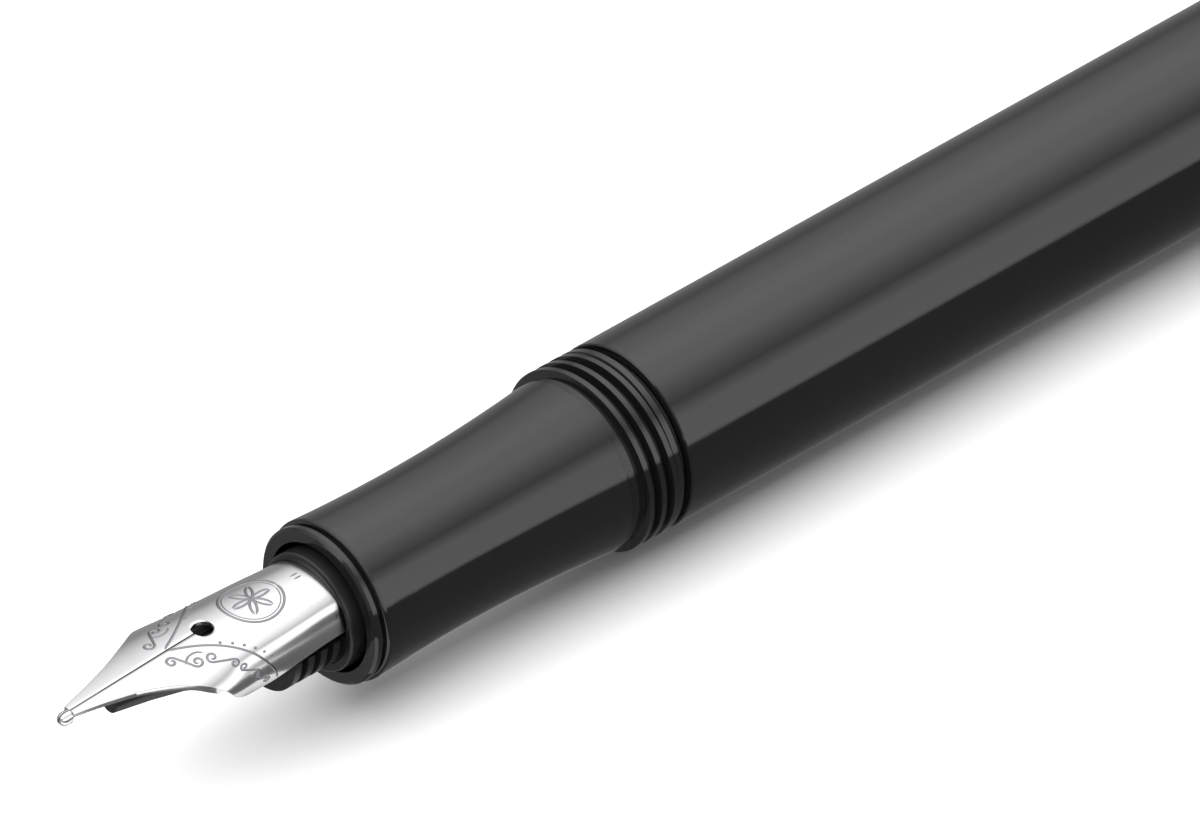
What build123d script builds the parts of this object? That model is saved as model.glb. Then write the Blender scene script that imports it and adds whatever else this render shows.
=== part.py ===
from build123d import *
import math
import os

# Fountain pen, laid nib up with its cap posted on the barrel's tail. Millimetres.
# The pen lies along X with the nib towards -X and +Z up. The origin is at the bottom centre
# of the whole pen, on the surface that the faceted cap rests on.

os.makedirs("parts", exist_ok=True)

# ---------------------------------------------------------------- fits (radial or end gaps)
turning_gap = 0.05      # pieces that turn, slide or screw in each other
seat_gap = 0.02         # pieces pushed or screwed home against each other
flex_gap = 0.10         # soft or sprung pieces beside a hard one
pull_gap = 0.19         # bore around the converter, so that it pulls out freely
edge_chamfer = 0.30     # broken edges that no one sees
overshoot = 1.0         # cutters pass the faces that they cut by this much

# ---------------------------------------------------------------- ink converter, radial sizes
converter_tube_radius = 3.60
converter_tube_wall = 0.65
chamber_radius = converter_tube_radius - converter_tube_wall
sleeve_radius = converter_tube_radius + 0.16
sleeve_inner_radius = converter_tube_radius - 0.40
knob_radius = sleeve_radius - 0.46
piston_waist_radius = chamber_radius - 0.50
rod_radius = 1.25
rod_tip_radius = 0.90
guide_flat = 0.95               # half width across the rod's flats
nipple_radius = 2.15
socket_lip_radius = 1.60

# ---------------------------------------------------------------- section's bores and tenon
section_rear_bore_radius = converter_tube_radius + 0.30
section_bore_radius = section_rear_bore_radius + 0.15
tenon_radius = section_rear_bore_radius + 0.80
tenon_length = 8.5
socket_radius = tenon_radius + turning_gap
socket_depth = tenon_length + 1.0

# ---------------------------------------------------------------- barrel
# Stations run along the pen from the barrel's front edge: minus towards the nib.
barrel_radius = 5.80
barrel_length = 74.0
barrel_end_wall = 4.0
barrel_edge_chamfer = 0.08
barrel_straight = barrel_length - 24.0      # length before the tail starts to narrow
barrel_tail_radius = barrel_radius - 0.85
barrel_rounding = 1.8
barrel_rear_bore_radius = sleeve_radius + pull_gap
barrel_bore_radius = barrel_rear_bore_radius + 0.50
barrel_bore_depth = barrel_length - 24.0
barrel_rear_bore_depth = barrel_length - barrel_end_wall

# ---------------------------------------------------------------- section that the hand holds
housing_stop = -9.0             # shoulder that the nib housing screws up against
band_front = -1.00
band_radius = barrel_radius - 0.02
band_chamfer = 0.22
thread_rear = -1.00
thread_front = -4.00
thread_depth = 0.50
thread_crest_radius = barrel_radius
thread_root_radius = thread_crest_radius - thread_depth
thread_pitch = 0.94
thread_crest_width = 0.34
thread_root_width = 0.66
thread_lead_in = 0.24           # the tooth starts this far behind the thread's front end
thread_run_out = 0.34
grip_rear = -4.15
grip_rear_radius = barrel_radius - 0.42
grip_rear_chamfer = 0.06
grip_hip = -9.15
grip_hip_radius = barrel_radius - 0.79
grip_waist = -15.8
grip_waist_radius = barrel_radius - 0.96
grip_front = -22.45
grip_front_radius = barrel_radius - 0.75
grip_front_rounding = 0.25
grip_groove_depth = 0.20
spigot_radius = section_bore_radius + 0.50  # counterbore wall that the front ring presses into
spigot_depth = 3.4
seal_radius = (socket_radius + barrel_radius) / 2
seal_thickness = 0.36
seal_rounding = 0.14

# ---------------------------------------------------------------- front ring
ring_front = -23.20
ring_rear = -22.75
ring_radius = grip_front_radius - 0.17
ring_neck_radius = spigot_radius + 0.07
ring_chamfer = 0.14

# ---------------------------------------------------------------- nib
nib_thickness = 0.30
nib_slit = 0.10
breather_station = -31.9
breather_radius = 0.65
nib_rear = -12.0
# station, height of the crown, half width and depth of the oval, and wrap from the crown in degrees
nib_stations = [
    (nib_rear, 3.14, 3.06, 2.35, 98),
    (-18.0, 3.15, 3.12, 2.33, 98),
    (-24.5, 3.15, 3.22, 2.30, 99),
    (-27.0, 3.17, 3.42, 2.28, 102),
    (-28.8, 3.17, 3.54, 2.25, 109),
    (-30.2, 3.17, 3.62, 2.20, 118),
    (-31.5, 3.16, 3.68, 2.14, 117),
    (-32.5, 3.13, 3.75, 2.06, 102),
    (-33.4, 3.09, 3.82, 1.95, 77),
    (-34.3, 3.05, 3.88, 1.87, 59.5),
    (-35.5, 2.98, 3.95, 1.87, 42.3),
    (-37.4, 2.87, 4.00, 1.92, 26),
    (-39.3, 2.76, 4.00, 2.00, 16),
    (-40.8, 2.67, 4.00, 2.00, 9.9),
    (-41.8, 2.61, 4.00, 2.00, 6.4),
]
pellet_radius = 0.43
pellet_length = 0.82

# ---------------------------------------------------------------- feed
feed_clearance = 0.25           # between the feed's crown and the tines
# station and radius of the slim part that rises under the tines
feed_stations = [(-38.9, 0.66), (-36.3, 0.96), (-34.0, 1.28), (-31.5, 1.80), (-29.0, 2.28)]
feed_core_radius = 2.35
feed_shaft_radius = nib_stations[0][1] - nib_thickness - 0.06
feed_shaft_rear = nib_rear - 0.2
feed_tail_radius = 1.05
feed_tail_rear = -6.0
feed_channel = 0.30
fin_radius = 3.12
fin_thickness = 0.48
fin_pitch = 0.95
fin_count = 4
fin_front = -27.7
fin_flat = 0.05                 # the fins' flat top sits this far above the pen's axis

# ---------------------------------------------------------------- nib housing
housing_front = -24.0
housing_step = -14.5
housing_floor = -11.0
housing_radius = section_bore_radius - turning_gap
housing_lower_radius = max(fin_radius, feed_shaft_radius) + 0.06
nose_share = 0.63               # part of the housing's wall that its slim nose keeps
rounding_share = 0.35           # part of the nose's wall that its rim is rounded by
housing_nose_radius = housing_lower_radius + nose_share * (housing_radius - housing_lower_radius)
housing_rounding = rounding_share * (housing_nose_radius - housing_lower_radius)
nipple_rear = -4.0

# ---------------------------------------------------------------- ink converter, lengths
converter_room = 8.35           # free space behind the knob, which pulling it off needs
knob_length = 15.6
knob_flutes = 16
flute_radius = 0.28
flute_margin = 1.2
knob_end_wall = 1.0
knob_end_chamfer = 0.6
sleeve_length = 19.0
guide_length = 3.0
guide_inset = 10.0              # the tube ends this far inside the sleeve
rod_reach = 6.0                 # the rod passes the tube's end by this much
converter_front = -8.6
socket_rear = -3.9
chamber_front = -3.2
piston_front = -2.6
piston_length = 4.4
rod_tip_length = 2.0
knob_rear = barrel_rear_bore_depth - converter_room
knob_front = knob_rear - knob_length
sleeve_rear = knob_front - turning_gap
sleeve_front = sleeve_rear - sleeve_length
converter_tube_rear = sleeve_rear - guide_inset
rod_rear = converter_tube_rear + rod_reach

# ---------------------------------------------------------------- cap, posted on the tail
cap_lip = barrel_length - 20.0  # station of the lip when the cap is posted
cap_sides = 10
cap_wall = 0.75
cap_shell_length = 50.5
cap_end_wall = 3.0
cap_edge = 0.45
cap_mouth_radius = barrel_radius + 0.15
cap_mouth_depth = 2.5
cap_thread_length = 4.0
cap_thread_crest_radius = thread_root_radius + 0.12
cap_bore_radius = cap_thread_crest_radius + 0.18
cap_half = cap_mouth_radius + cap_wall
liner_rim_depth = 24.0
liner_bore_radius = max(row[2] for row in nib_stations) + 0.30
liner_floor = 1.0
liner_chamfer = 0.6
clip_thickness = 0.60
clip_width = 3.0
clip_reach = 38.0
clip_rise = 1.25
clip_ball_radius = 1.25
clip_bend_radius = 0.48
clip_ring_radius = cap_bore_radius
clip_overlap = 1.0              # the arm reaches this far into the ring
finial_length = 5.2
finial_radius = cap_half - 0.95
finial_rounding = 3.0
finial_stud_radius = 2.5
finial_stud_length = 3.6

# ---------------------------------------------------------------- where the pen sits
axis_height = cap_half
pen_point = nib_stations[-1][0] - pellet_length
shell_end = cap_lip + cap_shell_length
finial_front = shell_end + clip_thickness + seat_gap
finial_rear = finial_front + finial_length
front_edge_x = -(pen_point + finial_rear) / 2

# Profiles are drawn as (station, radius) and revolved about the pen's axis.
profile_plane = Plane(origin=(front_edge_x, 0, axis_height), x_dir=(1, 0, 0), z_dir=(0, -1, 0))
pen_axis = Axis((0, 0, axis_height), (1, 0, 0))


def cross_plane(station):
    """Plane across the pen at a station: its x is the pen's +Y and its y is +Z."""
    return Plane(origin=(front_edge_x + station, 0, axis_height), x_dir=(0, 1, 0), z_dir=(1, 0, 0))


def finish(part, name):
    """Labels a finished piece and writes its file."""
    part.label = name
    export_step(part, f"parts/{name}.step")


def washer(front, rear, inner, outer):
    """Rectangle in a profile sketch that revolves into a plain ring."""
    with Locations(((front + rear) / 2, (inner + outer) / 2)):
        Rectangle(rear - front, outer - inner)


def rounded_end(rear, radius, rounding):
    """Quarter-round from a profile's side onto its flat rear end, in a profile line."""
    RadiusArc((rear - rounding, radius), (rear, radius - rounding), rounding)
    Line((rear, radius - rounding), (rear, 0))


# ================================================================ barrel and its seal
post_radius = cap_thread_crest_radius - turning_gap
post_station = cap_lip + cap_mouth_depth
bore_step = barrel_bore_radius - barrel_rear_bore_radius

with BuildPart() as barrel:
    with BuildSketch(profile_plane):
        with BuildLine():
            Polyline(
                (0, socket_radius),
                (0, barrel_radius - barrel_edge_chamfer),
                (barrel_edge_chamfer, barrel_radius),
                (barrel_straight, barrel_radius),
                (post_station, post_radius),
                (barrel_length - barrel_rounding, barrel_tail_radius),
            )
            rounded_end(barrel_length, barrel_tail_radius, barrel_rounding)
            Polyline(
                (barrel_length, 0),
                (barrel_rear_bore_depth, 0),
                (barrel_rear_bore_depth, barrel_rear_bore_radius),
                (barrel_bore_depth, barrel_rear_bore_radius),
                (barrel_bore_depth - bore_step, barrel_bore_radius),
                (socket_depth, barrel_bore_radius),
                (socket_depth, socket_radius),
                (0, socket_radius),
            )
        make_face()
    revolve(axis=pen_axis)
finish(barrel.part, "barrel")

seal_front = -(seat_gap + seal_thickness)

with BuildPart() as barrel_seal:
    with BuildSketch(profile_plane):
        washer(seal_front, -seat_gap, socket_radius, seal_radius)
    revolve(axis=pen_axis)
    outer_rims = barrel_seal.edges().filter_by(GeomType.CIRCLE).group_by(SortBy.RADIUS)[-1]
    fillet(outer_rims, seal_rounding)
finish(barrel_seal.part, "barrel_seal")

# ================================================================ grip section
section_rear_face = seal_front - seat_gap
# one right-hand thread for the cap, starting under the pen and running out into the band
thread_start = Plane(
    origin=(front_edge_x + thread_front + thread_lead_in, 0, axis_height), x_dir=(0, 0, -1), z_dir=(1, 0, 0)
)
thread_length = thread_rear - thread_front - thread_run_out + thread_lead_in
thread_path = thread_start * Helix(thread_pitch, thread_length, thread_root_radius)
tooth_plane = Plane(origin=thread_path @ 0, x_dir=(1, 0, 0), z_dir=thread_path % 0)

with BuildPart() as grip_section:
    with BuildSketch(profile_plane):
        with BuildLine():
            Polyline(
                (tenon_length, section_rear_bore_radius),
                (tenon_length, tenon_radius - edge_chamfer),
                (tenon_length - edge_chamfer, tenon_radius),
                (section_rear_face, tenon_radius),
                (section_rear_face, band_radius - band_chamfer),
                (section_rear_face - band_chamfer, band_radius),
                (band_front, band_radius),
                (band_front - edge_chamfer, thread_root_radius),
                (thread_front + edge_chamfer, thread_root_radius),
                (thread_front, grip_rear_radius - grip_groove_depth),
                (grip_rear, grip_rear_radius - grip_groove_depth),
                (grip_rear, grip_rear_radius - grip_rear_chamfer),
                (grip_rear - grip_rear_chamfer, grip_rear_radius),
            )
            Spline(
                (grip_rear - grip_rear_chamfer, grip_rear_radius),
                (grip_hip, grip_hip_radius),
                (grip_waist, grip_waist_radius),
                (grip_front + grip_front_rounding, grip_front_radius),
            )
            RadiusArc(
                (grip_front + grip_front_rounding, grip_front_radius),
                (grip_front, grip_front_radius - grip_front_rounding),
                -grip_front_rounding,
            )
            Polyline(
                (grip_front, grip_front_radius - grip_front_rounding),
                (grip_front, spigot_radius),
                (grip_front + spigot_depth, spigot_radius),
                (grip_front + spigot_depth, section_bore_radius),
                (housing_stop, section_bore_radius),
                (housing_stop, section_rear_bore_radius),
                (tenon_length, section_rear_bore_radius),
            )
        make_face()
    revolve(axis=pen_axis)
    with BuildSketch(tooth_plane):
        with BuildLine():
            Polyline(
                (-thread_root_width / 2, -thread_depth / 4),
                (thread_root_width / 2, -thread_depth / 4),
                (thread_crest_width / 2, thread_depth),
                (-thread_crest_width / 2, thread_depth),
                close=True,
            )
        make_face()
    sweep(path=thread_path, is_frenet=True)
finish(grip_section.part, "grip_section")

with BuildPart() as front_ring:
    with BuildSketch(profile_plane):
        with BuildLine():
            Polyline(
                (ring_front, section_bore_radius),
                (ring_front, ring_radius - ring_chamfer),
                (ring_front + ring_chamfer, ring_radius),
                (ring_rear, ring_radius),
                (ring_rear, ring_neck_radius),
                (grip_front - seat_gap, ring_neck_radius),
                (grip_front - seat_gap, spigot_radius - seat_gap),
                (grip_front + spigot_depth - seat_gap, spigot_radius - seat_gap),
                (grip_front + spigot_depth - seat_gap, section_bore_radius),
                close=True,
            )
        make_face()
    revolve(axis=pen_axis)
finish(front_ring.part, "front_ring")


# ================================================================ nib and its writing point
def nib_point(crown, half_width, depth, wrap, inset):
    """Point (across, up) on the nib's oval section, inset from its outer surface."""
    angle = math.radians(wrap)
    return (
        (half_width - inset) * math.sin(angle),
        crown - depth + (depth - inset) * math.cos(angle),
    )


nib_steps = 10

with BuildPart() as nib:
    for station, crown, half_width, depth, wrap in nib_stations:
        turns = [wrap * (1 - 2 * i / nib_steps) for i in range(nib_steps + 1)]
        outside = [nib_point(crown, half_width, depth, turn, 0) for turn in turns]
        inside = [nib_point(crown, half_width, depth, turn, nib_thickness) for turn in turns]
        with BuildSketch(cross_plane(station)):
            with BuildLine():
                Spline(*outside)
                Line(outside[-1], inside[-1])
                Spline(*reversed(inside))
                Line(inside[0], outside[0])
            make_face()
    loft(ruled=True)
    with BuildSketch(cross_plane(pen_point - overshoot)):
        with Locations((0, nib_stations[0][1])):
            Rectangle(nib_slit, 4 * nib_thickness + 2 * overshoot)
    extrude(amount=breather_station - pen_point + overshoot, mode=Mode.SUBTRACT)
    with BuildSketch(Plane.XY.offset(axis_height)):
        with Locations((front_edge_x + breather_station, 0)):
            Circle(breather_radius)
    extrude(amount=2 * nib_stations[0][1], mode=Mode.SUBTRACT)
finish(nib.part, "nib")

pellet_height = nib_stations[-1][1] - pellet_radius
pellet_rear = nib_stations[-1][0] - seat_gap
pellet_axis = Axis((0, 0, axis_height + pellet_height), (1, 0, 0))
pellet_bend = pen_point + pellet_radius

with BuildPart() as tipping_pellet:
    with BuildSketch(profile_plane):
        with BuildLine():
            Polyline(
                (pellet_bend, pellet_height + pellet_radius),
                (pellet_rear, pellet_height + pellet_radius),
                (pellet_rear, pellet_height),
                (pen_point, pellet_height),
            )
            RadiusArc(
                (pen_point, pellet_height),
                (pellet_bend, pellet_height + pellet_radius),
                pellet_radius,
            )
        make_face()
    revolve(axis=pellet_axis)
    with BuildSketch(cross_plane(pen_point - overshoot)):
        with Locations((0, pellet_height)):
            Rectangle(nib_slit, 4 * pellet_radius)
    extrude(amount=pellet_length + 2 * overshoot, mode=Mode.SUBTRACT)
finish(tipping_pellet.part, "tipping_pellet")

# ================================================================ feed
feed_front = feed_stations[0][0]
feed_neck = feed_stations[-1][0]


def crown_at(station):
    """Height of the nib's crown at a station, on straight lines between its sections."""
    for front, rear in zip(nib_stations[1:], nib_stations):
        if front[0] <= station <= rear[0]:
            share = (station - front[0]) / (rear[0] - front[0])
            return front[1] + share * (rear[1] - front[1])


with BuildPart() as feed:
    # slim front part that rises under the tines
    for station, radius in feed_stations:
        with BuildSketch(cross_plane(station)):
            with Locations((0, crown_at(station) - nib_thickness - feed_clearance - radius)):
                Circle(radius)
    loft(ruled=True)
    with BuildSketch(profile_plane):
        washer(feed_neck, housing_front, 0, feed_core_radius)
        washer(housing_front, feed_shaft_rear, 0, feed_shaft_radius)
        washer(feed_shaft_rear, feed_tail_rear, 0, feed_tail_radius)
    revolve(axis=pen_axis)
    # lower half of the shaft, filling the housing below the nib's edges
    with BuildSketch(cross_plane(housing_front)):
        Circle(fin_radius)
        with Locations((0, fin_flat + fin_radius)):
            Rectangle(4 * fin_radius, 2 * fin_radius, mode=Mode.SUBTRACT)
    extrude(amount=feed_shaft_rear - housing_front)
    # fins that hold the overflow, a round core above and a wider half below
    for fin in range(fin_count):
        with BuildSketch(cross_plane(fin_front + fin * fin_pitch)):
            Circle(fin_radius)
            with Locations((0, fin_flat + fin_radius)):
                Rectangle(4 * fin_radius, 2 * fin_radius, mode=Mode.SUBTRACT)
            Circle(feed_shaft_radius)
        extrude(amount=fin_thickness)
    # ink channel along the top
    with BuildSketch(cross_plane(feed_front - overshoot)):
        with Locations((0, feed_shaft_radius)):
            Rectangle(feed_channel, 2 * feed_channel)
    extrude(amount=feed_shaft_rear - feed_front, mode=Mode.SUBTRACT)
finish(feed.part, "feed")

# ================================================================ nib housing
with BuildPart() as nib_housing:
    with BuildSketch(profile_plane):
        washer(housing_front, housing_step, 0, housing_nose_radius)
        washer(housing_step, housing_stop - seat_gap, 0, housing_radius)
        washer(housing_stop - seat_gap, nipple_rear, 0, nipple_radius)
    revolve(axis=pen_axis)
    nose_rim = nib_housing.edges().filter_by(GeomType.CIRCLE).sort_by(Axis.X)[0]
    fillet(nose_rim, housing_rounding)
    # seat for the nib's oval and the round feed below it
    seat = nib_stations[2]
    with BuildSketch(cross_plane(housing_front)):
        with Locations((0, seat[1] - seat[3])):
            Ellipse(seat[2] + seat_gap, seat[3] + seat_gap)
        Circle(housing_lower_radius)
    extrude(amount=housing_floor - housing_front, mode=Mode.SUBTRACT)
    with BuildSketch(cross_plane(housing_floor)):
        Circle(feed_tail_radius + turning_gap)
    extrude(amount=nipple_rear - housing_floor, mode=Mode.SUBTRACT)
finish(nib_housing.part, "nib_housing")

# ================================================================ ink converter
with BuildPart() as converter_tube:
    with BuildSketch(profile_plane):
        with BuildLine():
            Polyline(
                (converter_front, nipple_radius + turning_gap),
                (converter_front, converter_tube_radius - edge_chamfer),
                (converter_front + edge_chamfer, converter_tube_radius),
                (converter_tube_rear, converter_tube_radius),
                (converter_tube_rear, chamber_radius),
                (chamber_front, chamber_radius),
                (chamber_front, socket_lip_radius),
                (socket_rear, socket_lip_radius),
                (socket_rear, nipple_radius + turning_gap),
                close=True,
            )
        make_face()
    revolve(axis=pen_axis)
finish(converter_tube.part, "converter_tube")

piston_rear = piston_front + piston_length
piston_rib = piston_length / 4
rib_radius = chamber_radius - turning_gap

with BuildPart() as piston:
    with BuildSketch(profile_plane):
        washer(piston_front, piston_front + piston_rib, 0, rib_radius)
        washer(piston_front + piston_rib, piston_rear - piston_rib, 0, piston_waist_radius)
        washer(piston_rear - piston_rib, piston_rear, 0, rib_radius)
        with Locations((piston_rear - rod_tip_length / 2, 0)):
            Rectangle(rod_tip_length, 2 * (rod_tip_radius + seat_gap), mode=Mode.SUBTRACT)
    revolve(axis=pen_axis)
finish(piston.part, "piston")

with BuildPart() as piston_rod:
    with BuildSketch(profile_plane):
        washer(piston_rear - rod_tip_length + seat_gap, piston_rear + seat_gap, 0, rod_tip_radius)
        washer(piston_rear + seat_gap, rod_rear, 0, rod_radius)
    revolve(axis=pen_axis)
    # two flats that stop the rod from turning in its guide
    with BuildSketch(cross_plane(piston_rear + seat_gap)):
        Circle(2 * rod_radius)
        Rectangle(2 * guide_flat, 4 * rod_radius, mode=Mode.SUBTRACT)
    extrude(amount=rod_rear - piston_rear, mode=Mode.SUBTRACT)
finish(piston_rod.part, "piston_rod")

guide_front = converter_tube_rear + 2 * seat_gap
guide_rear = guide_front + guide_length

with BuildPart() as converter_sleeve:
    with BuildSketch(profile_plane):
        with BuildLine():
            Polyline(
                (sleeve_front, converter_tube_radius + seat_gap),
                (sleeve_front, sleeve_radius),
                (sleeve_rear, sleeve_radius),
                (sleeve_rear, sleeve_inner_radius),
                (converter_tube_rear + seat_gap, sleeve_inner_radius),
                (converter_tube_rear + seat_gap, converter_tube_radius + seat_gap),
                close=True,
            )
        make_face()
    revolve(axis=pen_axis)
finish(converter_sleeve.part, "converter_sleeve")

with BuildPart() as rod_guide:
    with BuildSketch(cross_plane(guide_front)):
        Circle(sleeve_inner_radius - seat_gap)
        with BuildSketch(mode=Mode.PRIVATE) as rod_hole:
            Circle(rod_radius + turning_gap)
            Rectangle(2 * (guide_flat + turning_gap), 4 * rod_radius, mode=Mode.INTERSECT)
        add(rod_hole.sketch, mode=Mode.SUBTRACT)
    extrude(amount=guide_length)
finish(rod_guide.part, "rod_guide")

with BuildPart() as converter_knob:
    with BuildSketch(profile_plane):
        with BuildLine():
            Polyline(
                (guide_rear + turning_gap, rod_radius + turning_gap),
                (guide_rear + turning_gap, sleeve_inner_radius - turning_gap),
                (knob_front, sleeve_inner_radius - turning_gap),
                (knob_front, knob_radius),
                (knob_rear - knob_end_wall, knob_radius),
                (knob_rear, knob_radius - knob_end_chamfer),
                (knob_rear, 0),
                (knob_rear - knob_end_wall, 0),
                (knob_rear - knob_end_wall, rod_radius + turning_gap),
                close=True,
            )
        make_face()
    revolve(axis=pen_axis)
    with BuildSketch(cross_plane(knob_front + flute_margin)):
        with PolarLocations(knob_radius, knob_flutes):
            Circle(flute_radius)
    extrude(amount=knob_length - 2 * flute_margin - knob_end_chamfer, mode=Mode.SUBTRACT)
finish(converter_knob.part, "converter_knob")

# ================================================================ cap
shell_floor = shell_end - cap_end_wall
cap_thread_rear = post_station + cap_thread_length
stud_hole_radius = finial_stud_radius + turning_gap

with BuildPart() as cap_shell:
    with BuildSketch(cross_plane(cap_lip)):
        RegularPolygon(cap_half, cap_sides, major_radius=False)
    extrude(amount=cap_shell_length)
    for end_face in (cap_shell.faces().sort_by(Axis.X)[0], cap_shell.faces().sort_by(Axis.X)[-1]):
        chamfer(end_face.outer_wire().edges(), cap_edge)
    with BuildSketch(profile_plane):
        with BuildLine():
            Polyline(
                (cap_lip - overshoot, 0),
                (cap_lip - overshoot, cap_mouth_radius),
                (post_station, cap_mouth_radius),
                (post_station, cap_thread_crest_radius),
                (cap_thread_rear, cap_thread_crest_radius),
                (cap_thread_rear, cap_bore_radius),
                (shell_floor, cap_bore_radius),
                (shell_floor, stud_hole_radius),
                (shell_end + overshoot, stud_hole_radius),
                (shell_end + overshoot, 0),
                close=True,
            )
        make_face()
    revolve(axis=pen_axis, mode=Mode.SUBTRACT)
finish(cap_shell.part, "cap_shell")

liner_rim = cap_lip + liner_rim_depth
liner_rear = shell_floor - seat_gap
liner_outer = cap_bore_radius - seat_gap

with BuildPart() as cap_liner:
    with BuildSketch(profile_plane):
        with BuildLine():
            Polyline(
                (liner_rim, liner_outer),
                (liner_rear, liner_outer),
                (liner_rear, 0),
                (liner_rear - liner_floor, 0),
                (liner_rear - liner_floor, liner_bore_radius),
                (liner_rim + liner_chamfer, liner_bore_radius),
                (liner_rim, liner_bore_radius + liner_chamfer),
                close=True,
            )
        make_face()
    revolve(axis=pen_axis)
finish(cap_liner.part, "cap_liner")

clip_under = cap_half + clip_rise
clip_top = clip_under + clip_thickness
clip_tip = shell_end - clip_reach
clip_back = shell_end + clip_thickness

with BuildPart() as clip:
    with BuildSketch(cross_plane(shell_end + seat_gap / 2)):
        Circle(clip_ring_radius)
        Circle(stud_hole_radius, mode=Mode.SUBTRACT)
    extrude(amount=clip_thickness - seat_gap)
    with BuildSketch(profile_plane):
        with BuildLine():
            Polyline(
                (shell_end + seat_gap / 2, clip_ring_radius - clip_overlap),
                (clip_back - seat_gap / 2, clip_ring_radius - clip_overlap),
                (clip_back - seat_gap / 2, clip_top),
                (clip_tip, clip_top),
                (clip_tip, clip_under),
                (shell_end + seat_gap / 2, clip_under),
                close=True,
            )
        make_face()
    extrude(amount=clip_width / 2, both=True)
    fillet(clip.edges().filter_by(Axis.Y).group_by(Axis.Z)[-1].sort_by(Axis.X)[-1], clip_bend_radius)
    with Locations(profile_plane.from_local_coords((clip_tip + clip_ball_radius / 2,
                                                    cap_half + flex_gap + clip_ball_radius, 0))):
        Sphere(clip_ball_radius)
finish(clip.part, "clip")

with BuildPart() as cap_finial:
    with BuildSketch(profile_plane):
        with BuildLine():
            Polyline(
                (finial_front - finial_stud_length, 0),
                (finial_front - finial_stud_length, finial_stud_radius),
                (finial_front, finial_stud_radius),
                (finial_front, finial_radius - edge_chamfer),
                (finial_front + edge_chamfer, finial_radius),
                (finial_rear - finial_rounding, finial_radius),
            )
            rounded_end(finial_rear, finial_radius, finial_rounding)
            Line((finial_rear, 0), (finial_front - finial_stud_length, 0))
        make_face()
    revolve(axis=pen_axis)
finish(cap_finial.part, "cap_finial")
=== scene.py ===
import math

import bmesh
import bpy
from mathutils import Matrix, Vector


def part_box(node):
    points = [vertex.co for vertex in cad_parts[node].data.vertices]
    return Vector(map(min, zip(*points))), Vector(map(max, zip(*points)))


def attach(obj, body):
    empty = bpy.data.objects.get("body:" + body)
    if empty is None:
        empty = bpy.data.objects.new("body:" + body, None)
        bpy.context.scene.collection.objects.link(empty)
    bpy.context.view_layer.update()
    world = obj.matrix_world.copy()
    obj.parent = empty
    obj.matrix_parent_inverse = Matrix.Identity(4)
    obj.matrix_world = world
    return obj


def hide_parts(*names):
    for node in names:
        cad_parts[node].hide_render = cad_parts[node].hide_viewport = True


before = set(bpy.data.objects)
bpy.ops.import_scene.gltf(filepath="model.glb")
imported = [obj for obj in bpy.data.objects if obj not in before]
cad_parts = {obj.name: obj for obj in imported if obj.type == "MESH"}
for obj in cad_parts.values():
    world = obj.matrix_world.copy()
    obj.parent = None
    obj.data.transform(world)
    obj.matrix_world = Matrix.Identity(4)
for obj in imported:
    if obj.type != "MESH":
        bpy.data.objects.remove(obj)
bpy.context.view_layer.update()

bl_info = {
    "name": "Fountain Pen",
    "version": (1, 0, 0),
    "blender": (4, 5, 0),
    "location": "3D View > Sidebar > Pen",
    "description": "Nib, engraving, feed and finishes of a piston-converter fountain pen, with its studio",
    "category": "Add Mesh",
}

MM = 0.001

# Stations along the pen run in millimetres from the barrel's front edge, minus towards the nib.
BARREL_LOW, BARREL_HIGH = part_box("barrel")
EDGE_X = BARREL_LOW.x
AXIS_Z = (BARREL_LOW.z + BARREL_HIGH.z) / 2


def place(station, across, up):
    """Point of the pen, given in millimetres from the barrel's front edge and the pen's axis."""
    return Vector((EDGE_X + station * MM, across * MM, AXIS_Z + up * MM))


# ---------------------------------------------------------------------------------- settings
def size(name, description, default, low=0.0, high=1000.0):
    return bpy.props.FloatProperty(name=name, description=description, default=default, min=low, max=high)


def share(name, description, default):
    return bpy.props.FloatProperty(
        name=name, description=description, default=default, min=0.0, max=1.0, subtype="FACTOR"
    )


def tint(name, description, default):
    return bpy.props.FloatVectorProperty(
        name=name, description=description, default=default, subtype="COLOR", size=3, min=0.0, max=1.0
    )


class NibSettings(bpy.types.PropertyGroup):
    """Sizes of the nib in millimetres, and the colours of its metals."""

    thickness: size("Thickness", "Thickness of the nib's sheet, mm", 0.30)
    slit: size("Slit", "Width of the ink slit, mm", 0.09)
    hole_station: size("Hole station", "Where the breather hole is, mm from the barrel's edge", -31.9, -100.0)
    hole_radius: size("Hole radius", "Radius of the breather hole, mm", 0.65)
    edge_round: size("Edge rounding", "Width of the polished rounding along the edges, mm", 0.045)
    line_width: size("Line width", "Width of an engraved line, mm", 0.19)
    line_height: size("Line lip", "Height of an engraved line's lip, mm", 0.036)
    steel: tint("Steel", "Colour of the nib's polished steel", (0.61, 0.61, 0.62))
    # painted shade: the engraved lines' dark colour stands in for the shade in the grooves of the real
    # engraving
    groove_shade_tint: tint("Painted groove shade", "Colour of the engraved lines", (0.22, 0.22, 0.23))
    tipping: tint("Tipping metal", "Colour of the writing pellet", (0.66, 0.66, 0.66))


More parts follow.
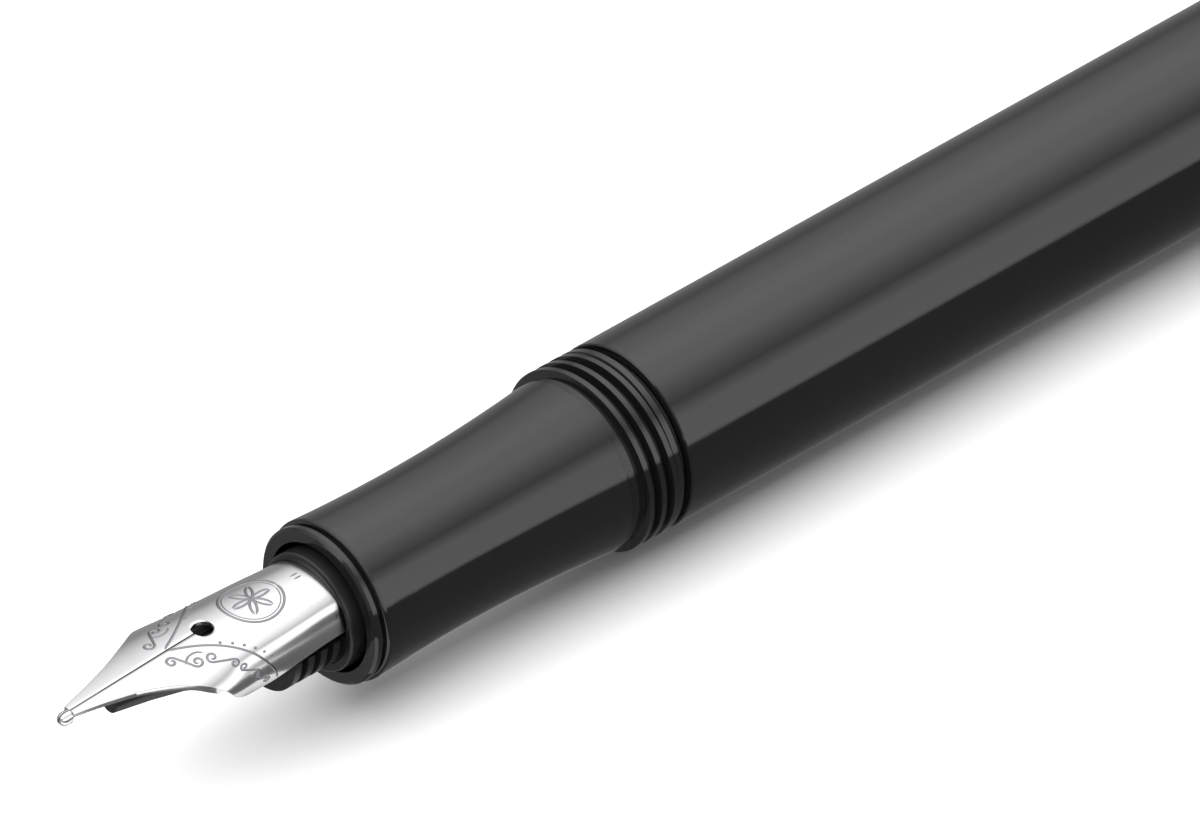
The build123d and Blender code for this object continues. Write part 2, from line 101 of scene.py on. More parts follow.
class BodySettings(bpy.types.PropertyGroup):
    """Colours and gloss of the pen's own materials."""

    resin: tint("Resin", "Colour of the polished black resin", (0.0075, 0.0075, 0.0080))
    satin: tint("Satin plastic", "Colour of the feed and the nib housing", (0.0090, 0.0090, 0.0095))
    rubber: tint("Rubber", "Colour of the seals", (0.0120, 0.0120, 0.0120))
    plating: tint("Plating", "Colour of the clip and the converter's sleeve", (0.62, 0.62, 0.63))
    white: tint("White plastic", "Colour of the piston rod", (0.72, 0.71, 0.68))
    clear: tint("Clear plastic", "Colour of the converter's tube", (0.90, 0.92, 0.93))
    resin_gloss: share("Resin roughness", "Roughness of the polished resin", 0.055)
    clip_rounding: size("Clip rounding", "Radius of the clip's rolled edges, mm", 0.16)
    satin_gloss: share("Satin roughness", "Roughness of the satin plastic", 0.26)


class StageSettings(bpy.types.PropertyGroup):
    """The studio: floor, lights and camera."""

    overhead: size("Overhead light", "Radiance of the large soft light over the pen", 2.05)
    sky: size("Room light", "Radiance of the room around the stage", 0.44)
    near_card: size("Near card", "Radiance of the dark card on the floor in front, in reflections", 0.17)
    far_card: size("Far card", "Radiance of the floor behind, in reflections", 0.36)
    tent_radius: size("Tent radius", "Radius of the light tent that gloss reflects, metres", 1.8)
    floor: tint("Floor", "Colour of the floor", (0.93, 0.93, 0.93))
    azimuth: size("Azimuth", "Camera's angle from -Y towards -X, degrees", -42.3, -180.0, 180.0)
    elevation: size("Elevation", "Camera's height angle, degrees", 37.8, 0.0, 90.0)
    distance: size("Distance", "Camera's distance from the barrel's edge, metres", 1.27)
    lens: size("Lens", "Focal length in millimetres", 670.6)


# ---------------------------------------------------------------------------------- shaders
class Wire:
    """An output socket, with arithmetic that adds Math nodes."""

    def __init__(self, finish, socket):
        self.finish, self.socket = finish, socket

    def math(self, operation, *values):
        return self.finish.node("ShaderNodeMath", {"operation": operation}, dict(enumerate((self, *values))))

    def __add__(self, other):
        return self.math("ADD", other)

    def __sub__(self, other):
        return self.math("SUBTRACT", other)

    def __mul__(self, other):
        return self.math("MULTIPLY", other)

    def __rsub__(self, other):
        return self.finish.node("ShaderNodeMath", {"operation": "SUBTRACT"}, {0: other, 1: self})

    __radd__, __rmul__ = __add__, __mul__


class Finish:
    """A procedural material around one Principled shader."""

    def __init__(self, name):
        self.material = bpy.data.materials.new(name)
        self.material.use_nodes = True
        self.tree = self.material.node_tree
        self.tree.nodes.clear()
        output = self.tree.nodes.new("ShaderNodeOutputMaterial")
        self.shader = self.tree.nodes.new("ShaderNodeBsdfPrincipled")
        self.tree.links.new(self.shader.outputs[0], output.inputs["Surface"])

    def feed(self, socket, value):
        if isinstance(value, Wire):
            self.tree.links.new(value.socket, socket)
        elif hasattr(value, "__len__"):
            opaque = (1.0,) if socket.type == "RGBA" and len(value) == 3 else ()
            socket.default_value = (*value, *opaque)
        else:
            socket.default_value = value

    def node(self, kind, settings=(), sockets=(), output=0):
        """Adds a node: its settings first, then the values or links of its sockets."""
        made = self.tree.nodes.new(kind)
        for name, value in dict(settings).items():
            if name == "stops":
                ramp = made.color_ramp.elements
                while len(ramp) < len(value):
                    ramp.new(0.5)
                for stop, (position, shade) in zip(ramp, value):
                    stop.position, stop.color = position, (shade, shade, shade, 1.0)
            else:
                setattr(made, name, value)
        for key, value in dict(sockets).items():
            self.feed(made.inputs[key], value)
        return Wire(self, made.outputs[output])

    def where(self, stretch=(1.0, 1.0, 1.0)):
        """The surface point in the pen's frame, stretched along the axes."""
        point = self.node("ShaderNodeTexCoord", output=3)
        return self.node("ShaderNodeVectorMath", {"operation": "MULTIPLY"}, {0: point, 1: stretch})

    def noise(self, scale, detail=3.0, stretch=(1.0, 1.0, 1.0), rough=0.5):
        return self.node(
            "ShaderNodeTexNoise",
            sockets={"Vector": self.where(stretch), "Scale": scale, "Detail": detail, "Roughness": rough},
        )

    def blend(self, amount, first, second):
        """Colour that goes from first to second with amount."""
        return self.node("ShaderNodeMix", {"data_type": "RGBA"}, {0: amount, 6: first, 7: second}, output=2)

    def ramp(self, amount, *stops):
        return self.node("ShaderNodeValToRGB", {"stops": stops}, {0: amount})

    def bump(self, height, strength, distance):
        return self.node(
            "ShaderNodeBump", sockets={"Strength": strength, "Distance": distance, "Height": height}
        )

    def surface(self, **sockets):
        for name, value in sockets.items():
            self.feed(self.shader.inputs[name.replace("_", " ")], value)
        return self.material


FINE_RELIEF, RELIEF = 0.00002, 0.00003      # metres
WIPED, BUFFED = (0.05, 1.0, 1.0), (0.06, 1.0, 1.0)      # stretch a texture into lengthwise marks


def scaled(colour, factor):
    return tuple(channel * factor for channel in colour)


def black_resin(body):
    """Polished black resin: faint cloudiness, and fine wiping marks around and along the pen."""
    finish = Finish("black_resin")
    cloud = finish.noise(140.0, 4.0)
    wiping = finish.noise(2600.0, 2.0, WIPED)
    speck = finish.noise(9000.0, 1.0)
    return finish.surface(
        Base_Color=finish.blend(cloud, scaled(body.resin, 0.8), scaled(body.resin, 1.25)),
        Roughness=body.resin_gloss + cloud * 0.02 + wiping * 0.018,
        Normal=finish.bump(wiping * 0.7 + speck * 0.3, 0.06, FINE_RELIEF),
        Specular_IOR_Level=0.5,
        IOR=1.5,
    )


def black_satin(body):
    """Moulded black plastic with a fine spark-eroded texture."""
    finish = Finish("black_satin")
    texture = finish.noise(6500.0, 3.0)
    cloud = finish.noise(260.0, 3.0)
    return finish.surface(
        Base_Color=finish.blend(cloud, scaled(body.satin, 0.75), scaled(body.satin, 1.3)),
        Roughness=body.satin_gloss + texture * 0.08,
        Normal=finish.bump(texture, 0.12, RELIEF),
        Specular_IOR_Level=0.3,
    )


def seal_rubber(body):
    """Soft black rubber."""
    finish = Finish("seal_rubber")
    texture = finish.noise(4200.0, 4.0)
    return finish.surface(
        Base_Color=finish.blend(texture, scaled(body.rubber, 0.7), scaled(body.rubber, 1.4)),
        Roughness=0.5 + texture * 0.15,
        Normal=finish.bump(texture, 0.2, RELIEF),
    )


def polished_steel(name, colour, rough, marks):
    """Polished metal with fine lengthwise buffing marks."""
    finish = Finish(name)
    buffing = finish.noise(5200.0, 4.0, BUFFED, 0.6)
    cloud = finish.noise(420.0, 3.0)
    return finish.surface(
        Base_Color=finish.blend(cloud, scaled(colour, 0.95), scaled(colour, 1.05)),
        Metallic=1.0,
        Roughness=rough + buffing * marks + cloud * 0.03,
        Normal=finish.bump(buffing, 0.10, FINE_RELIEF),
    )


def painted_groove_steel(nib):
    """Steel roughened by engraving, with a dark base colour that is painted shade standing in for the
    engraved grooves.
    """
    finish = Finish("painted_groove_steel")
    grain = finish.noise(16000.0, 3.0)
    return finish.surface(
        # painted shade: the dark base colour of the raised engraved lines stands in for the grooves' shade
        Base_Color=finish.blend(grain, scaled(nib.groove_shade_tint, 0.7), scaled(nib.groove_shade_tint, 1.35)),
        Metallic=1.0,
        Roughness=0.16 + grain * 0.14,
    )


def clear_plastic(body):
    """Clear acrylic with faint moulding haze."""
    finish = Finish("clear_plastic")
    haze = finish.noise(900.0, 3.0)
    return finish.surface(
        Base_Color=finish.blend(haze, scaled(body.clear, 0.96), body.clear),
        Roughness=0.04 + haze * 0.06,
        Transmission_Weight=0.9,
        IOR=1.49,
    )


def white_plastic(body):
    """Milky moulded plastic."""
    finish = Finish("white_plastic")
    cloud = finish.noise(700.0, 3.0)
    return finish.surface(
        Base_Color=finish.blend(cloud, scaled(body.white, 0.93), body.white),
        Roughness=0.32 + cloud * 0.1,
        Normal=finish.bump(cloud, 0.1, RELIEF),
    )


# ---------------------------------------------------------------------------------- meshes
def piece(name, mesh, material, body, slot, *nodes):
    """Adds a mesh piece that rides on a body and stands for CAD nodes."""
    made = bpy.data.objects.new(name, mesh)
    bpy.context.scene.collection.objects.link(made)
    mesh.materials.append(material)
    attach(made, body)
    if nodes:
        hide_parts(*nodes)
    return made


def mesh_from(name, points, faces, sharp=40.0):
    """Closed mesh with outward normals, smooth except over edges sharper than an angle."""
    mesh = bpy.data.meshes.new(name)
    mesh.from_pydata([tuple(point) for point in points], [], faces)
    shaped = bmesh.new()
    shaped.from_mesh(mesh)
    bmesh.ops.remove_doubles(shaped, verts=shaped.verts, dist=1e-7)
    bmesh.ops.recalc_face_normals(shaped, faces=shaped.faces)
    for face in shaped.faces:
        face.smooth = True
    for edge in shaped.edges:
        edge.smooth = edge.calc_face_angle(0.0) < math.radians(sharp)
    shaped.to_mesh(mesh)
    shaped.free()
    return mesh


def curve_through(table, station):
    """Row of a table of (station, values...), smooth through its rows."""
    last = len(table) - 1
    index = 0
    while index < last - 1 and station < table[index + 1][0]:
        index += 1
    before, after = table[index], table[index + 1]
    span = after[0] - before[0]
    t = min(max((station - before[0]) / span, 0.0), 1.0)

    def slope(row, column):
        low, high = table[max(row - 1, 0)], table[min(row + 1, last)]
        return (high[column] - low[column]) / (high[0] - low[0])

    values = []
    for column in range(1, len(before)):
        start, end = before[column], after[column]
        rise, fall = slope(index, column) * span, slope(index + 1, column) * span
        values.append(
            (2 * t**3 - 3 * t**2 + 1) * start
            + (t**3 - 2 * t**2 + t) * rise
            + (3 * t**2 - 2 * t**3) * end
            + (t**3 - t**2) * fall
        )
    return values


# station, height of the crown, half width and depth of the oval, wrap from the crown in degrees
NIB_SECTIONS = (
    (-12.0, 3.14, 3.06, 2.35, 98.0),
    (-18.0, 3.15, 3.12, 2.33, 98.0),
    (-24.5, 3.15, 3.22, 2.30, 99.0),
    (-27.0, 3.17, 3.42, 2.28, 102.0),
    (-28.8, 3.17, 3.54, 2.25, 109.0),
    (-30.2, 3.17, 3.62, 2.20, 118.0),
    (-31.5, 3.16, 3.68, 2.14, 117.0),
    (-32.5, 3.13, 3.75, 2.06, 102.0),
    (-33.4, 3.09, 3.82, 1.95, 77.0),
    (-34.3, 3.05, 3.88, 1.87, 59.5),
    (-35.5, 2.98, 3.95, 1.87, 42.3),
    (-37.4, 2.87, 4.00, 1.92, 26.0),
    (-39.3, 2.76, 4.00, 2.00, 16.0),
    (-40.8, 2.67, 4.00, 2.00, 9.9),
    (-41.8, 2.61, 4.00, 2.00, 6.4),
)
# the flank's bend: degrees where it starts and is deepest, its depth in mm, and its stations
BEND_START, BEND_PEAK, BEND_DEPTH = 48.0, 74.0, 0.20
BEND_FRONT, BEND_FULL, BEND_FADE, BEND_REAR = -33.3, -30.7, -23.8, -22.6


def ease(low, high, value):
    """Smooth step from 0 at low to 1 at high."""
    t = min(max((value - low) / (high - low), 0.0), 1.0)
    return t * t * (3 - 2 * t)


def flank_bend(station, angle, wrap):
    """How far the flank lies inside the oval: a tighter bend at the shoulder, then a flatter side."""
    if wrap <= BEND_PEAK:
        return 0.0
    depth = BEND_DEPTH * ease(BEND_FRONT, BEND_FULL, station) * (1 - ease(BEND_FADE, BEND_REAR, station))
    past = max(abs(angle) - BEND_PEAK, 0.0) / (wrap - BEND_PEAK)
    return depth * ease(BEND_START, BEND_PEAK, abs(angle)) * (1 - past**2)


def nib_surface(station, angle, lift=0.0):
    """Point (station, across, up) on the nib's oval at an angle from its crown, in degrees."""
    crown, half_width, depth, wrap = curve_through(NIB_SECTIONS, station)
    lift -= flank_bend(station, angle, wrap)
    turn = math.radians(angle)
    return (
        station,
        (half_width + lift) * math.sin(turn),
        crown - depth + (depth + lift) * math.cos(turn),
    )


# rows of the mesh along the tines, beside the breather hole and behind it, and steps across
TINE_ROWS, HOLE_ROWS, REAR_ROWS, ACROSS_STEPS = 72, 32, 60, 44
REAR_START, HIDDEN_STATIONS = -22.0, (-20.0, -16.0, -12.0)
UPRIGHT_WRAP, ROUND_WRAP = 55.0, 80.0       # degrees: edges are cut upright below, and square above


def nib_mesh(nib):
    """Both halves of the nib: split from the point to the breather hole, joined behind it."""
    hole, radius = nib.hole_station, nib.hole_radius
    half_slit = nib.slit / 2
    mouth = math.sqrt(radius**2 - half_slit**2)
    point, rear_start = NIB_SECTIONS[-1][0], hole + mouth
    stations = [point + (hole - mouth - point) * i / TINE_ROWS for i in range(TINE_ROWS)]
    stations += [hole - mouth * math.cos(math.pi * i / HOLE_ROWS) for i in range(HOLE_ROWS + 1)]
    stations += [rear_start + (REAR_START - rear_start) * i / REAR_ROWS for i in range(1, REAR_ROWS + 1)]
    stations += HIDDEN_STATIONS
    round_off = nib.edge_round

    def inner_edge(station):
        if station < hole - mouth + 1e-6:
            return half_slit
        if station > rear_start - 1e-6:
            return 0.0
        return max(half_slit, math.sqrt(max(radius**2 - (station - hole) ** 2, 0.0)))

    points, faces, outlines = [], [], []
    for station in stations:
        crown, half_width, depth, wrap = curve_through(NIB_SECTIONS, station)
        edge = inner_edge(station)
        first = math.degrees(math.asin(min(edge / half_width, 1.0)))
        outer_round = math.degrees(round_off / depth)
        inner_round = outer_round if edge else 0.0
        outline = []

        def add(angle, inset):
            outline.append(nib_surface(station, angle, -inset))

        # the tines' edges are cut upright, so their inner face reaches a little further round
        under = half_width * math.sin(math.radians(wrap)) / (half_width - nib.thickness)
        upright = math.degrees(math.asin(min(under, 1.0))) if wrap < ROUND_WRAP else wrap
        inner_wrap = wrap + (upright - wrap) * (1 - ease(UPRIGHT_WRAP, ROUND_WRAP, wrap))
        start, stop, inner_stop = first + inner_round, wrap - outer_round, inner_wrap - outer_round
        for step in range(ACROSS_STEPS + 1):
            add(start + (stop - start) * (step / ACROSS_STEPS), 0.0)
        add(wrap, round_off)
        add(inner_wrap, nib.thickness - round_off)
        for step in range(ACROSS_STEPS, -1, -1):
            add(start + (inner_stop - start) * (step / ACROSS_STEPS), nib.thickness)
        add(first, nib.thickness - round_off)
        add(first, round_off)
        outlines.append(outline)
    open_edge = 3   # the last columns of an outline, which close the inner edge
    for side in (1, -1):
        offset = len(points)
        count = len(outlines[0])
        for outline in outlines:
            points.extend(place(station, side * y, z) for station, y, z in outline)
        joined = [inner_edge(station) == 0.0 for station in stations]
        for row in range(len(outlines) - 1):
            low, high = offset + row * count, offset + (row + 1) * count
            for column in range(count):
                after = (column + 1) % count
                if column >= count - open_edge and joined[row] and joined[row + 1]:
                    continue
                faces.append((low + column, low + after, high + after, high + column))
        faces.append(tuple(offset + column for column in range(count)))
        rear = offset + (len(outlines) - 1) * count
        faces.append(tuple(rear + column for column in range(count)))
    return mesh_from("nib_sheet", points, faces)


DEGREES_PER_MM = 16.0   # turn around the oval for an arc of 1 mm


def on_nib(point, side, lift):
    """Pen point for (station, arc from the crown in mm) on one side of the nib."""
    station, arc = point
    return place(*nib_surface(station, side * arc * DEGREES_PER_MM, lift))


def through(points, steps=6):
    """Smooth line through flat points."""
    padded = [points[0], *points, points[-1]]
    line = []
    for before, start, end, after in zip(padded, padded[1:], padded[2:], padded[3:]):
        for step in range(steps):
            t = step / steps
            spot = []
            for a, b, c, d in zip(before, start, end, after):
                bend, twist = 2 * a - 5 * b + 4 * c - d, 3 * b - a - 3 * c + d
                spot.append((2 * b + (c - a) * t + bend * t**2 + twist * t**3) / 2)
            line.append(tuple(spot))
    line.append(points[-1])
    return line


def double_scroll(first, second, first_radius, second_radius, turns=1.15, hand=1):
    """S-shaped scroll: a curl around each of two flat points, joined by their crossing tangent."""
    dx, dy = second[0] - first[0], (second[1] - first[1]) * hand
    apart = math.hypot(dx, dy)
    leave = math.atan2(dy, dx) - math.acos(min((first_radius + second_radius) / apart, 1.0))
    line = []
    steps, eye, opening = 26, 0.22, 0.8     # the curl's eye as a share of its radius, and how it opens
    for centre, radius, way in ((first, first_radius, 1), (second, second_radius, -1)):
        for step in range(steps + 1):
            t = step / steps if way > 0 else 1 - step / steps
            turn, reach = leave - (1 - t) * turns * math.tau, radius * (eye + (1 - eye) * t**opening)
            spot = (way * reach * math.cos(turn), way * hand * reach * math.sin(turn))
            line.append((centre[0] + spot[0], centre[1] + spot[1]))
    return line


def ring(centre, radius, start=0.0, sweep=math.tau, steps=64):
    return [
        (centre[0] + radius * math.cos(start + sweep * i / steps),
         centre[1] + radius * math.sin(start + sweep * i / steps))
        for i in range(steps + 1)
    ]


def dense(line, spacing=0.06):
    """The same flat line with points close enough to follow the nib's curve."""
    fine = [line[0]]
    for start, end in zip(line, line[1:]):
        parts = max(1, math.ceil(math.dist(start, end) / spacing))
        fine += [
            (start[0] + (end[0] - start[0]) * i / parts, start[1] + (end[1] - start[1]) * i / parts)
            for i in range(1, parts + 1)
        ]
    return fine


RIDGE_PROFILE = ((-0.5, -0.5), (-0.42, 0.2), (-0.22, 0.8), (0.0, 1.0), (0.22, 0.8), (0.42, 0.2), (0.5, -0.5))
TAPER_START, TAPER_STEP = 0.4, 0.1      # a line's weight at its ends, and its gain at each point


def ridge(line, side, width, height, points, faces):
    """Adds a fine rounded ridge that follows a flat line over the nib's surface."""
    line, profile = dense(line), RIDGE_PROFILE
    first = len(points)
    count = len(profile)
    last = len(line) - 1
    for index, point in enumerate(line):
        before, after = line[max(index - 1, 0)], line[min(index + 1, last)]
        along = (after[0] - before[0], after[1] - before[1])
        length = math.hypot(*along) or 1.0
        normal = (-along[1] / length, along[0] / length)
        taper = min(1.0, TAPER_START + TAPER_STEP * min(index, last - index))
        for across, up in profile:
            shift = across * width * taper
            spot = (point[0] + normal[0] * shift, point[1] + normal[1] * shift)
            points.append(on_nib(spot, side, up * height * taper))
    for row in range(last):
        low = first + row * count
        for column in range(count):
            after = (column + 1) % count
            faces.append((low + column, low + after, low + count + after, low + count + column))
    faces.append(tuple(first + column for column in range(count)))
    faces.append(tuple(first + last * count + column for column in range(count)))


def bead(centre, side, radius, height, points, faces):
    """Adds a low round bead on the nib's surface."""
    around, first = 12, len(points)
    rows = ((1.0, -0.4), (0.86, 0.35), (0.5, 0.85))
    for reach, up in rows:
        for spot in ring(centre, radius * reach, steps=around)[:-1]:
            points.append(on_nib(spot, side, up * height))
    points.append(on_nib(centre, side, height))
    for row in range(len(rows) - 1):
        for column in range(around):
            after = (column + 1) % around
            low, high = first + row * around, first + (row + 1) * around
            faces.append((low + column, low + after, high + after, high + column))
    top, crown = first + (len(rows) - 1) * around, len(points) - 1
    for column in range(around):
        faces.append((top + column, top + (column + 1) % around, crown))
    faces.append(tuple(first + column for column in range(around)))


def bow(start, pull, end, steps=48):
    """Quadratic curve between two flat points, drawn towards a third."""
    return [
        tuple((1 - t) ** 2 * a + 2 * t * (1 - t) * b + t * t * c for a, b, c in zip(start, pull, end))
        for t in (step / steps for step in range(steps + 1))
    ]


# The engraving is drawn flat, as (station, arc from the crown in mm), and laid on the nib.
# border of the engraved field: start, pull and end of one bow, and the points of it that carry beads
BORDER_START, BORDER_PULL, BORDER_END = (-34.6, 0.1), (-30.0, 2.0), (-29.3, 6.8)
BEADED, BEAD_SHIFT, BEAD_RADIUS = slice(12, 40, 4), (0.66, 0.24), 0.11
BEAD_HEIGHT, SWASH_WEIGHT, FINE_LINE = 1.6, 0.8, 0.5    # as shares of a line's height and width
# centres and radii of each scroll's two curls, and its hand
SCROLLS = (
    ((-35.05, 0.90), (-33.85, 1.75), 0.34, 0.36, 1),
    ((-32.95, 2.00), (-32.00, 3.15), 0.36, 0.30, -1),
    ((-31.55, 3.75), (-30.90, 4.90), 0.28, 0.30, -1),
    ((-30.75, 5.50), (-30.20, 6.30), 0.22, 0.26, -1),
)
SWASH = ((-34.55, 1.50), (-34.10, 1.18), (-33.55, 1.16), (-33.15, 1.42))
# rosette: centre and radius of its ring, the second ring's share of it, and the petals' arcs in degrees
EMBLEM_CENTRE, EMBLEM_RADIUS, EMBLEM_INNER = (-28.15, 0.12), 1.92, 0.89
PETALS, PETAL_REACH, PETAL_START, PETAL_SWEEP = 6, 0.74, 124.0, 112.0
# two ticks: their station, how far each lies from the crown line, and half their length
TICK_STATION, TICK_ARC, TICK_REACH = -24.9, 0.18, 0.25


def engraving_mesh(nib):
    """Border, scrolls and beads on both sides, and a plain rosette in a ring on the crown."""
    points, faces = [], []

    def draw(line, side=1, weight=1.0, lip=1.0):
        ridge(line, side, nib.line_width * weight, nib.line_height * lip, points, faces)

    border = bow(BORDER_START, BORDER_PULL, BORDER_END)
    for side in (1, -1):
        draw(border, side)
        for first, second, first_radius, second_radius, hand in SCROLLS:
            draw(double_scroll(first, second, first_radius, second_radius, hand=hand), side)
        draw(through(SWASH, 5), side, SWASH_WEIGHT)
        for station, arc in border[BEADED]:
            centre = (station + BEAD_SHIFT[0], arc + BEAD_SHIFT[1])
            bead(centre, side, BEAD_RADIUS, nib.line_height * BEAD_HEIGHT, points, faces)

    draw(ring(EMBLEM_CENTRE, EMBLEM_RADIUS, steps=96))
    draw(ring(EMBLEM_CENTRE, EMBLEM_RADIUS * EMBLEM_INNER, steps=96), weight=FINE_LINE, lip=FINE_LINE)
    inner = EMBLEM_RADIUS * PETAL_REACH
    for petal in range(PETALS):
        turn = math.tau * petal / PETALS
        centre = (EMBLEM_CENTRE[0] + inner * math.cos(turn), EMBLEM_CENTRE[1] + inner * math.sin(turn))
        draw(ring(centre, inner, turn + math.radians(PETAL_START), math.radians(PETAL_SWEEP), 40))
    for arc in (-TICK_ARC, TICK_ARC):
        draw([(TICK_STATION + reach, arc) for reach in (-TICK_REACH, 0.0, TICK_REACH)])
    return mesh_from("nib_engraving", points, faces, 75.0)


PELLET_NOSE, PELLET_WAIST = 1.25, 0.06  # the nose's length in radii, and how far the rear narrows


def pellet_mesh(nib, low, high):
    """Two-lobed writing pellet: a long rounded bulb that the slit parts."""
    centre_z, radius = (low.z + high.z) / 2, (high.z - low.z) / 2
    gap = nib.slit * MM / 2
    rows, around = 22, 20
    points, faces = [], []
    length = high.x - low.x
    for side in (1, -1):
        first = len(points)
        for row in range(rows + 1):
            t = row / rows
            along = low.x + length * (1 - math.cos(t * math.pi / 2)) if t < 1 else high.x
            reach = min((along - low.x) / (radius * PELLET_NOSE), 1.0)
            swell = math.sqrt(max(1 - (1 - reach) ** 2, 0.0)) * (1 - PELLET_WAIST * ease(0.5, 1.0, t))
            for step in range(around + 1):
                turn = math.pi * step / around - math.pi / 2
                points.append((
                    along,
                    side * (gap + (radius - gap) * swell * math.cos(turn)),
                    centre_z + radius * swell * math.sin(turn),
                ))
        count = around + 1
        for row in range(rows):
            for step in range(around):
                low_row, high_row = first + row * count, first + (row + 1) * count
                faces.append((low_row + step, low_row + step + 1, high_row + step + 1, high_row + step))
            faces.append((first + row * count, first + (row + 1) * count,
                          first + (row + 1) * count + around, first + row * count + around))
        faces.append(tuple(first + rows * count + step for step in range(count)))
    return mesh_from("writing_pellet", points, faces, 50.0)


# ---------------------------------------------------------------------------------- operators
ROUNDING_STEPS, ROUNDED_FROM = 3, 60.0      # the clip's corners from this angle in degrees are rounded


class PEN_OT_nib(bpy.types.Operator):
    """Builds the split nib from its oval sections"""

    bl_idname = "pen.nib"
    bl_label = "Nib"

    def execute(self, context):
        nib = context.scene.pen_nib
        steel = polished_steel("nib_steel", nib.steel, rough=0.15, marks=0.06)
        piece("nib_sheet", nib_mesh(nib), steel, "nib_unit", "nib_steel", "nib")
        return {"FINISHED"}


class PEN_OT_engraving(bpy.types.Operator):
    """Lays the border, scrolls, beads and rosette on the nib"""

    bl_idname = "pen.engraving"
    bl_label = "Engraving"

    def execute(self, context):
        nib = context.scene.pen_nib
        # the engraving's dark material is painted shade of the grooves, laid on raised ridges
        piece("nib_engraving", engraving_mesh(nib), painted_groove_steel(nib), "nib_unit", "nib_steel")
        return {"FINISHED"}


class PEN_OT_pellet(bpy.types.Operator):
    """Builds the hard writing pellet on the point"""

    bl_idname = "pen.pellet"
    bl_label = "Writing pellet"

    def execute(self, context):
        nib = context.scene.pen_nib
        metal = polished_steel("tipping_metal", nib.tipping, rough=0.16, marks=0.05)
        mesh = pellet_mesh(nib, *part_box("tipping_pellet"))
        piece("writing_pellet", mesh, metal, "nib_unit", "tipping_metal", "tipping_pellet")
        return {"FINISHED"}


class PEN_OT_body(bpy.types.Operator):
    """Finishes the resin, plastic, rubber and metal pieces of the frame"""

    bl_idname = "pen.body"
    bl_label = "Body finishes"

    def execute(self, context):
        body = context.scene.pen_body
        resin, satin, rubber = black_resin(body), black_satin(body), seal_rubber(body)
        plating = polished_steel("bright_metal", body.plating, rough=0.1, marks=0.05)
        finishes = {
            resin: ("barrel", "grip_section", "front_ring", "cap_shell", "cap_finial"),
            satin: ("nib_housing", "feed", "converter_knob", "cap_liner"),
            rubber: ("barrel_seal", "piston"),
            plating: ("converter_sleeve", "clip"),
            white_plastic(body): ("rod_guide", "piston_rod"),
            clear_plastic(body): ("converter_tube",),
        }
        for material, nodes in finishes.items():
            for node in nodes:
                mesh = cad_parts[node].data
                mesh.materials.clear()
                mesh.materials.append(material)
        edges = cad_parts["clip"].modifiers.new("rolled_edges", "BEVEL")
        edges.width, edges.segments = body.clip_rounding * MM, ROUNDING_STEPS
        edges.limit_method, edges.angle_limit = "ANGLE", math.radians(ROUNDED_FROM)
        return {"FINISHED"}


def stage_sheet(name, points, faces, material):
    """Sheet of the stage, which isn't part of the pen."""
    mesh = bpy.data.meshes.new(name)
    mesh.from_pydata(points, [], faces)
    mesh.materials.append(material)
    made = bpy.data.objects.new(name, mesh)
    bpy.context.scene.collection.objects.link(made)
    return made


def gloss_only(sheet):
    """Leaves a sheet of the stage to reflections alone."""
    sheet.visible_camera = sheet.visible_diffuse = sheet.visible_shadow = False
    sheet.visible_transmission = sheet.visible_volume_scatter = False


def rectangle(low_x, low_y, high_x, high_y, height):
    return [
        (low_x, low_y, height), (high_x, low_y, height), (high_x, high_y, height), (low_x, high_y, height)
    ]


# The tent is a large soft box overhead and a smaller one in front, with a dim gap between them:
# start, full from, full until and end in degrees around the pen from +Y over the top, and radiance
SOFT_BOXES = ((10, 65, 95, 128, 2.0), (128, 145, 176, 182, 1.85))
TENT_ROOM, TENT_GAP = 0.35, 0.70
TENT_SPAN, TENT_TOP, TENT_STEPS = 184.0, 2.2, 60
TENT_FRONT, TENT_REAR = -2.5, 3.5
# the stage in metres: floor, cards that lie on it, and the large lamp's sides and place
FLOOR_REACH, CARD_HEIGHT = 6.0, 0.0004
CARD_FRONT, CARD_REAR, CARD_MIDDLE = -2.0, 3.0, -0.002
NOTCH_REACH, NOTCH_SIDE = 0.024, -0.013     # the card is cut back under the nib
LAMP_SIDES, LAMP_PLACE = (2.6, 1.666), (0.3, 0.397, 0.6)
# how far the camera stands to the left and above, mm, for the framing
CAMERA_LEFT, CAMERA_UP = 1.335, 1.449
SENSOR_WIDTH, VIEW_END = 36.0, 50.0         # mm and metres


def glow(name, radiance):
    """Even or graded glow for a sheet that only gloss sees."""
    finish = Finish(name)
    finish.surface(Base_Color=(0.0, 0.0, 0.0), Roughness=1.0, Specular_IOR_Level=0.0)
    finish.surface(Emission_Strength=1.0 if isinstance(radiance, float) else TENT_TOP)
    if isinstance(radiance, float):
        return finish.surface(Emission_Color=(radiance,) * 3)
    parts = finish.node("ShaderNodeSeparateXYZ", sockets={0: finish.node("ShaderNodeTexCoord", output=3)})
    across = Wire(finish, parts.socket.node.outputs["Y"])
    up = Wire(finish, parts.socket.node.outputs["Z"]) - AXIS_Z
    turn = up.math("ARCTAN2", across) * (180.0 / math.pi / TENT_SPAN)
    stops = tuple((angle / TENT_SPAN, tone / TENT_TOP) for angle, tone in radiance)
    return finish.surface(Emission_Color=finish.ramp(turn, *stops))


def tent_tones():
    """Angle and radiance at the corners of the soft boxes' profiles, from the far side to the near."""
    (far, *over, gap, high), (_, *front, near, low) = SOFT_BOXES
    return (
        (0, TENT_ROOM), (far, TENT_ROOM), *((angle, high) for angle in over), (gap, TENT_GAP),
        *((angle, low) for angle in front), (near, TENT_ROOM),
    )


